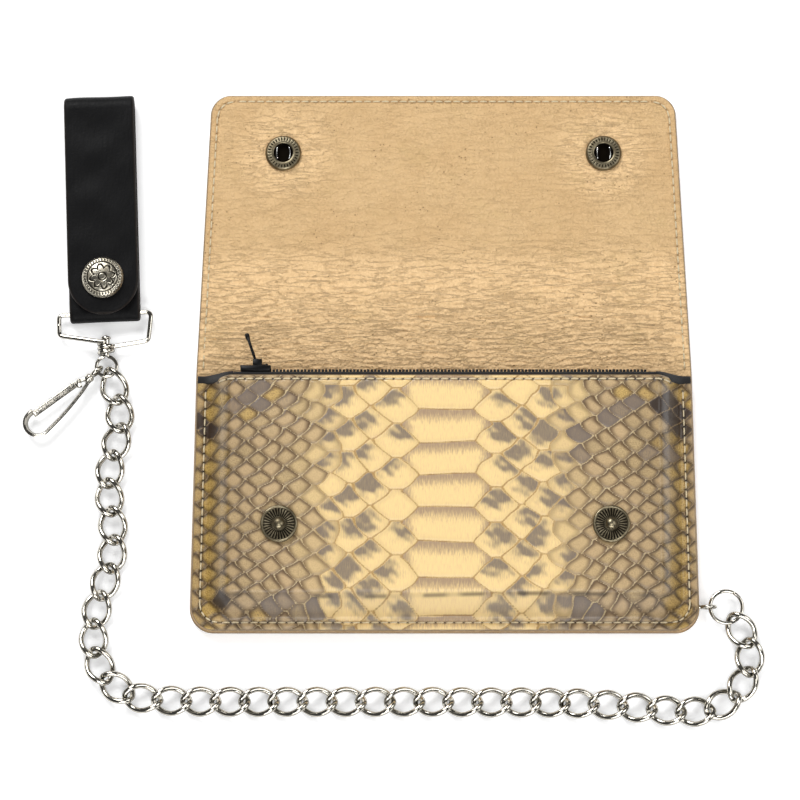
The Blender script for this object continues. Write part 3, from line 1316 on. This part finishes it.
def ring_end():
    """Split jump ring, and the eye that is riveted through the leather tab."""
    lo, hi = low("jump_ring"), high("jump_ring")
    wire = (hi[2] - lo[2]) / 2
    centre, r = (lo + hi) / 2, (hi[0] - lo[0]) / 2 - wire
    ring = tube(ring_path(centre, r, 62, 357, 96), wire, 16)
    make("jump_ring_wire", ring, NICKEL, "ring", "nickel", ["jump_ring"])
    lo, hi = low("side_eye"), high("side_eye")
    wire = 0.65
    r = (hi[2] - lo[2]) / 2 - wire
    centre = np.array([hi[0] - r - wire, (lo[1] + hi[1]) / 2, (lo[2] + hi[2]) / 2])
    loop = tube(ring_path(centre, r, 182, 352, 72, 0.1, upright=True), wire, 14)
    shank = tube([(x, centre[1], centre[2]) for x in np.linspace(lo[0], centre[0] - r + 0.2, 8)], 0.85, 16)
    make("side_eye_wire", merge([loop, shank]), NICKEL, "wallet", "nickel", ["side_eye"])


# ---------------------------------------------------------------- clip and belt strap
loop_at = joint_at("strap_swing")
loop_x = np.array(joint["strap_swing"]["axis"])
tilt = math.degrees(math.atan2(loop_x[1], loop_x[0]))
wrap = joint_at("swivel_spin")
wrap_y = -float(np.linalg.norm((wrap - loop_at)[:2]))


def at_loop(part):
    """From the frame of the wire loop's top bar, in the plane of the table, to the wallet's frame."""
    return moved(part, (loop_at[0], loop_at[1], 0), tilt)


def swivel():
    """Wire eye whose shank runs up through the loop's coil to a flat head."""
    z = loop_at[2]
    eye_r, wire = 3.8, 0.7
    cy = -20.2  # the eye's middle, below the loop's top bar
    a = np.radians(np.linspace(100, 100 + 338, 70))
    loop = [(eye_r * math.cos(k), cy + eye_r * math.sin(k), z + 0.25 * math.cos((k - a[0]) / 2)) for k in a]
    rise_up = [(0.35, cy + eye_r + 0.9, z), (0.0, cy + eye_r + 2.2, z), (0, wrap_y + 3.4, z)]
    path = rounded(loop + rise_up, 0.6, step=0.4)
    wire_part = tube(path, wire, 14)
    neck = tube([(0, y, z) for y in np.linspace(cy + eye_r + 0.4, wrap_y + 3.6, 14)],
                np.interp(np.linspace(0, 1, 14), [0, 0.25, 1], [0.8, 1.3, 1.45]), 18)
    head = tube([(0, wrap_y + y, z) for y in (3.2, 3.5, 4.1, 4.4)], [1.5, 1.9, 1.9, 1.5], 20)
    part = at_loop(merge([wire_part, neck, head]))
    make("swivel_eye_wire", part, NICKEL, "swivel", "nickel", ["swivel_eye"])


def wire_loop():
    """Rectangular wire loop whose two ends are wound round the swivel's shank."""
    z = loop_at[2]
    wire, coil_r, coil_turns, coil_length = 0.85, 2.48, 2.4, 4.1
    half = 17.4
    along = np.linspace(0, 1, 90)
    angle = math.pi / 2 + 2 * math.pi * coil_turns * along
    coil = [(coil_r * math.cos(k), wrap_y + 2.0 - coil_length * t, z + coil_r * math.sin(k))
            for k, t in zip(angle, along)]
    first = rounded([(-half, -3.5, z), (-half, -7.8, z), (-2.6, wrap_y + 2.3, z + coil_r - 0.4),
                     coil[0]], 1.6)
    around = rounded([(-half, -3.5, z), (-half, 0, z), (half, 0, z), (15.9, -11, z),
                      (2.6, wrap_y + 0.4, z + 0.6), (0.4, wrap_y + 0.2, z + coil_r)], 1.9)
    parts = [tube(around, wire, 14), tube(np.concatenate([first, np.array(coil)]), wire, 14)]
    make("wire_loop_bent", at_loop(merge(parts)), NICKEL, "loop", "nickel", ["wire_loop"])


hook_at = joint_at("clip_swing")
gate_at = joint_at("gate_open")
PIN = (9.6, -1.6)  # the gate's pin in the clip's own frame
hook_turn = math.degrees(math.atan2(gate_at[1] - hook_at[1], gate_at[0] - hook_at[0])
                         - math.atan2(PIN[1], PIN[0]))


def ribbon(path, width, thick, taper=None, lean=0.0):
    """A flat strip on edge along a path in the plane, standing up by its width and leaning by an angle."""
    path = np.asarray(path, float)
    ahead = np.gradient(path, axis=0)
    ahead /= np.linalg.norm(ahead, axis=1, keepdims=True)
    out = np.stack([-ahead[:, 1], ahead[:, 0]], -1)
    width = width * (np.ones(len(path)) if taper is None else np.asarray(taper))
    sides = 12
    a = np.linspace(0, 2 * math.pi, sides, endpoint=False) + math.pi / sides
    ca, sa = np.cos(a), np.sin(a)
    sx = np.sign(ca) * np.abs(ca) ** 0.35 * thick / 2
    sz = np.sign(sa) * np.abs(sa) ** 0.35
    points = []
    for k in range(len(path)):
        for i in range(sides):
            up, across = sz[i] * width[k] / 2, sx[i]
            xy = path[k] + out[k] * (across * math.cos(lean) + up * math.sin(lean))
            points.append((xy[0], xy[1], up * math.cos(lean) - across * math.sin(lean)))
    faces = grid_faces(len(path), sides, wrap_columns=True).tolist()
    faces.append(list(range(sides))[::-1])
    faces.append(list(range((len(path) - 1) * sides, len(path) * sides)))
    return np.array(points), faces


def clip():
    """Spring clip: a hooked strip with an eye at its root, and a thin sprung gate."""
    z = loop_at[2]
    bend, r = np.array([31.5, 0.0]), 4.6
    outer = [np.array(p) for p in ((6.0, 0.4), (8.5, 1.2), (11.0, 1.9))]
    outer += [outer[2] * (1 - t) + (bend + [0, r]) * t + np.array([0, 0.5 * math.sin(math.pi * t)])
              for t in np.linspace(0.1, 0.95, 12)]
    outer += [bend + r * np.array([math.sin(a), math.cos(a)]) for a in np.linspace(0, math.pi, 24)]
    outer += [bend + np.array([-0.8, -r]), bend + np.array([-1.6, -r])]
    hook = ribbon(rounded([(*p, 0) for p in outer], 0.5, step=0.5)[:, :2], 2.8, 1.2, lean=0.35)
    ring = tube([(2.4 + 2.4 * math.cos(a), 0, 2.4 * math.sin(a))
                 for a in np.linspace(0, 2 * math.pi, 50)[:-1]],
                0.75, 14, closed=True)
    neck = tube([(x, 0, 0) for x in np.linspace(4.8, 7.8, 7)], [1.3, 1.7, 1.75, 1.6, 1.7, 1.5, 1.1], 18)
    lug = ribbon([(6.6, -0.4), (7.6, -0.8), (8.6, -1.2), PIN], 2.8, 1.2)
    pin = tube([(*PIN, height) for height in (-1.5, 0, 1.5)], 0.8, 18)
    arm = [(PIN[0] + 1.3 * math.sin(a), PIN[1] + 1.3 * math.cos(a)) for a in np.linspace(0.15, 1.4, 6)]
    root, tip = np.array([10.95, -1.75]), np.array([30.6, -3.5])
    arm += [tuple(root * (1 - t) + tip * t) for t in np.linspace(0, 1, 24)]
    gate = ribbon(arm, 2.7, 0.7, np.interp(np.linspace(0, 1, 30), [0, 0.2, 1], [0.8, 1, 0.95]), lean=-0.95)
    for name, part, node in (("clip_hook_strip", merge([hook, ring, neck, lug, pin]), "clip_hook"),
                             ("clip_gate_strip", gate, "clip_gate")):
        part = moved(part, (*hook_at[:2], z), hook_turn)
        make(name, part, NICKEL, node.split("_")[1], "nickel", [node])


strap_w, strap_t = 26.5, 2.2
strap_top = high("strap_tongue")[2]
strap_fold_y = float(np.linalg.norm((joint_at("strap_open") - loop_at)[:2]))


def strap_sheet(name, line, half_width, body=None, nodes=(), seed=3, round_end=False):
    """A strap of leather along a line in the Y-Z plane of the strap's frame, with burnished edges."""
    line = np.asarray(line, float)
    length = path_lengths(line)
    count = int(length[-1] / 0.8) + 2
    at = np.linspace(0, length[-1], count)
    if round_end:
        r = strap_w / 2
        start = r * (1 - np.cos(np.linspace(0, math.pi / 2, 22)))
        at = np.unique(np.concatenate([start, at[at > r]]))
    py, pz = np.interp(at, length, line[:, 0]), np.interp(at, length, line[:, 1])
    ty, tz = np.gradient(py, at), np.gradient(pz, at)
    size = np.hypot(ty, tz)
    ty, tz = ty / size, tz / size
    ny, nz = -tz, ty
    rim = strap_t / 2
    w = half_width + 0 * at
    if round_end:
        w = np.minimum(w, np.sqrt(np.maximum(r * r - np.clip(r - at, 0, None) ** 2, 0)) + 0.001)
    offsets = np.array(side_offsets(rim, 6))
    inner = np.maximum(w - rim, 0.0)
    middle = np.linspace(-1, 1, 40)[None, 1:-1] * inner[:, None]
    left = -(inner[:, None] + (rim - offsets)[None, :] * np.minimum(w / rim, 1)[:, None])
    x = np.concatenate([left, middle, -left[:, ::-1]], axis=1)
    d = w[:, None] - np.abs(x)
    if round_end:
        d = np.minimum(d, at[:, None])
    d = np.maximum(d, 0)
    half = (rim - rim_drop(d, rim)) * 0.985
    s = at[:, None] + 0 * x
    wave = 0.11 * ripples(x, s, seed, 26, 16, 8) * smooth(0, 3, d)

    def face(sign):
        h = sign * half + wave
        points = np.stack([x, py[:, None] + ny[:, None] * h, pz[:, None] + nz[:, None] * h], -1)
        return at_loop((points.reshape(-1, 3), None))[0].reshape(points.shape)

    marks = {"flat": stack(x, s, 0 * x), "edge": 0.75 * smooth(1.0, 0.2, d)}
    return slab(name, face(1), face(-1), STRAP, marks, body=body, slot="strap_leather", replaces=nodes)


def strap():
    """Belt strap: its tongue and the upper half of its fold bend together, the rest stays with the base."""
    z_top = strap_top - strap_t / 2
    z_low = strap_t / 2
    fold_mid = (z_top + z_low) / 2
    fold_r = (z_top - z_low) / 2
    quarter = np.linspace(0, math.pi / 2, 14)
    tongue = [(-1.2, z_top), (strap_fold_y, z_top)]
    tongue += [(strap_fold_y + fold_r * math.sin(a), fold_mid + fold_r * math.cos(a)) for a in quarter[1:]]
    piece = strap_sheet("strap_tongue_leather", tongue, strap_w / 2, nodes=["strap_tongue"], round_end=True)
    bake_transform(piece)
    base = [(strap_fold_y + fold_r * math.cos(a), fold_mid - fold_r * math.sin(a)) for a in quarter]
    wrap_r = loop_at[2] - z_low
    base += [(0.0, z_low)]
    base += [(-wrap_r * math.sin(a), loop_at[2] - wrap_r * math.cos(a))
             for a in np.linspace(0, math.pi, 18)[1:]]
    base += [(17.0, 2 * loop_at[2] - z_low)]
    strap_sheet("strap_base_leather", base, strap_w / 2 - 0.1, body="strap", nodes=["strap_base"], seed=9)


def cap_ornament(r, a):
    """Eight petals inside a plain ring and a rim of even ticks: the cap's sunk lines."""
    petal = 3.0 + 1.7 * np.abs(np.cos(4 * a))
    petals = smooth(0.5, 0.2, np.abs(r - petal)) + smooth(0.4, 0.15, np.abs(r - 1.5))
    ring = smooth(0.38, 0.12, np.abs(r - 5.7))
    ticks = smooth(6.0, 6.2, r) * smooth(7.0, 6.8, r) * smooth(0.3, 0.7, np.cos(36 * a)) * 0.8
    return np.clip(petals + ring + ticks, 0, 1)


def strap_snap():
    """The tongue's ornamented cap with its rivet, and the stud under it."""
    lo, hi = low("strap_snap_cap"), high("strap_snap_cap")
    r = (hi[0] - lo[0]) / 2
    radii = np.concatenate([np.linspace(0, r - 0.9, 44),
                            [r - 0.6, r - 0.3, r - 0.1, r, r, r - 0.1, r - 0.4]])
    dome = [3.3 * math.sqrt(max(1 - (k / (r + 1.4)) ** 2, 0)) for k in radii[:-7]]
    heights = np.concatenate([dome, [1.5, 1.3, 1.0, 0.7, 0.4, 0.1, 0.0]])
    p, f = disc_piece(radii, heights, 288, lambda q, a: -0.26 * cap_ornament(q, a))
    recess = cap_ornament(*polar(p))
    centre = ((lo[0] + hi[0]) / 2, (lo[1] + hi[1]) / 2, strap_top + 0.02)
    rivet = tube([(0, 0, z) for z in np.linspace(-2.4, 0.2, 6)], 2.0, 24)
    make("strap_snap_cap_dome", moved(merge([(p, f), rivet]), centre, 12), SILVER, "tongue",
         "strap_snap_metal", ["strap_snap_cap"], {"recess": np.concatenate([recess,
                                                                            np.zeros(len(rivet[0]))])})
    lo, hi = low("strap_snap_stud"), high("strap_snap_stud")
    post = disc_piece([0.0, 0.9, 1.3, 1.3, 1.3, 4.6, 5.0, 5.0],
                      [1.3, 1.28, 1.1, 0.6, 0.2, 0.15, 0.1, 0.0], 64)
    post = moved(post, ((lo[0] + hi[0]) / 2, (lo[1] + hi[1]) / 2, lo[2]))
    make("strap_snap_post", post, SILVER, "strap", "strap_snap_metal", ["strap_snap_stud"],
         {"recess": np.zeros(len(post[0]))})


def card_leaves():
    """Leaves of the card slots, thin sheets behind the coin pocket."""
    for node in ("card_leaf_upper", "card_leaf_lower"):
        lo, hi = low(node), high(node)
        t = hi[2] - lo[2]
        ys = row_ys(lo[1], hi[1], 3.0, 0, 1.5, t / 2)
        x, y, d = plate(ys, lambda v: hi[0] - 0.1 + 0 * v, lo[1], hi[1], 3.0, 0, t / 2, 1.5)
        lining_sheet(node, x, y, np.minimum(d, hi[1] - y), hi[2], lo[2], t / 2)


# ---------------------------------------------------------------- stage
def aim(holder, at, target):
    """Put a light or camera at a place, looking at a target, both in metres."""
    holder.location = at
    holder.rotation_euler = (Vector(target) - Vector(at)).to_track_quat("-Z", "Y").to_euler()
    bpy.context.scene.collection.objects.link(holder)


def area_light(name, at, target, size, power, size_y=None):
    """A rectangular light, its sizes in metres and its power in watts."""
    lamp = bpy.data.lights.new(name, "AREA")
    lamp.energy = power
    lamp.shape = "RECTANGLE"
    lamp.size = size
    lamp.size_y = size_y or size
    aim(bpy.data.objects.new(name, lamp), at, target)


def studio():
    """Pale floor, soft light and the camera, nearly overhead."""
    scene = bpy.context.scene
    target = Vector((-16.5, 41.25, 0)) * MM
    elevation, distance = math.radians(80), 1.12
    camera = bpy.data.cameras.new("camera")
    camera.sensor_width = 36
    camera.lens = 134.4
    camera.clip_start, camera.clip_end = 0.05, 20
    holder = bpy.data.objects.new("camera", camera)
    aim(holder, target + Vector((0, -math.cos(elevation), math.sin(elevation))) * distance, target)
    scene.camera = holder
    floor_mesh = bpy.data.meshes.new("floor")
    s, z = 3.0, -0.0001
    floor_mesh.from_pydata([(-s, -s, z), (s, -s, z), (s, s, z), (-s, s, z)], [], [(0, 1, 2, 3)])
    n = Nodes("floor")
    n.fixed(Base_Color=(0.93, 0.93, 0.93), Roughness=0.7, Emission_Color=(1, 1, 1), Emission_Strength=0.3)
    floor_mesh.materials.append(n.material)
    floor = bpy.data.objects.new("floor", floor_mesh)
    scene.collection.objects.link(floor)
    world = bpy.data.worlds.new("studio")
    world.use_nodes = True
    tree = world.node_tree
    tree.nodes["Background"].inputs[0].default_value = (1, 1, 1, 1)
    tree.nodes["Background"].inputs[1].default_value = 0.06
    scene.world = world
    area_light("key", (-0.5, 1.0, 0.95), (-0.02, 0.04, 0), 0.7, 15.5)
    area_light("fill", (0.85, 0.1, 0.9), (0, 0.04, 0), 0.7, 4.5)
    area_light("front", (0.0, -1.0, 0.7), (0, 0.0, 0), 1.1, 7.0, size_y=0.35)
    area_light("top", (0.0, -0.55, 1.5), (0, 0.04, 0), 0.7, 6.0)
    scene.view_settings.view_transform = "Standard"
    scene.view_settings.look = "None"


# ---------------------------------------------------------------- build
studio()
for layer in ("card_panel", "coin_pocket_back", "coin_pocket_lining"):
    pocket_layer(layer)
card_leaves()
front_panel()
hide_pieces()
flap_threads()
side_tab()
zip_tapes()
zip_ends()
zip_teeth()
zip_slider()
zip_pull()
snaps()
chain()
ring_end()
swivel()
wire_loop()
clip()
strap()
strap_snap()
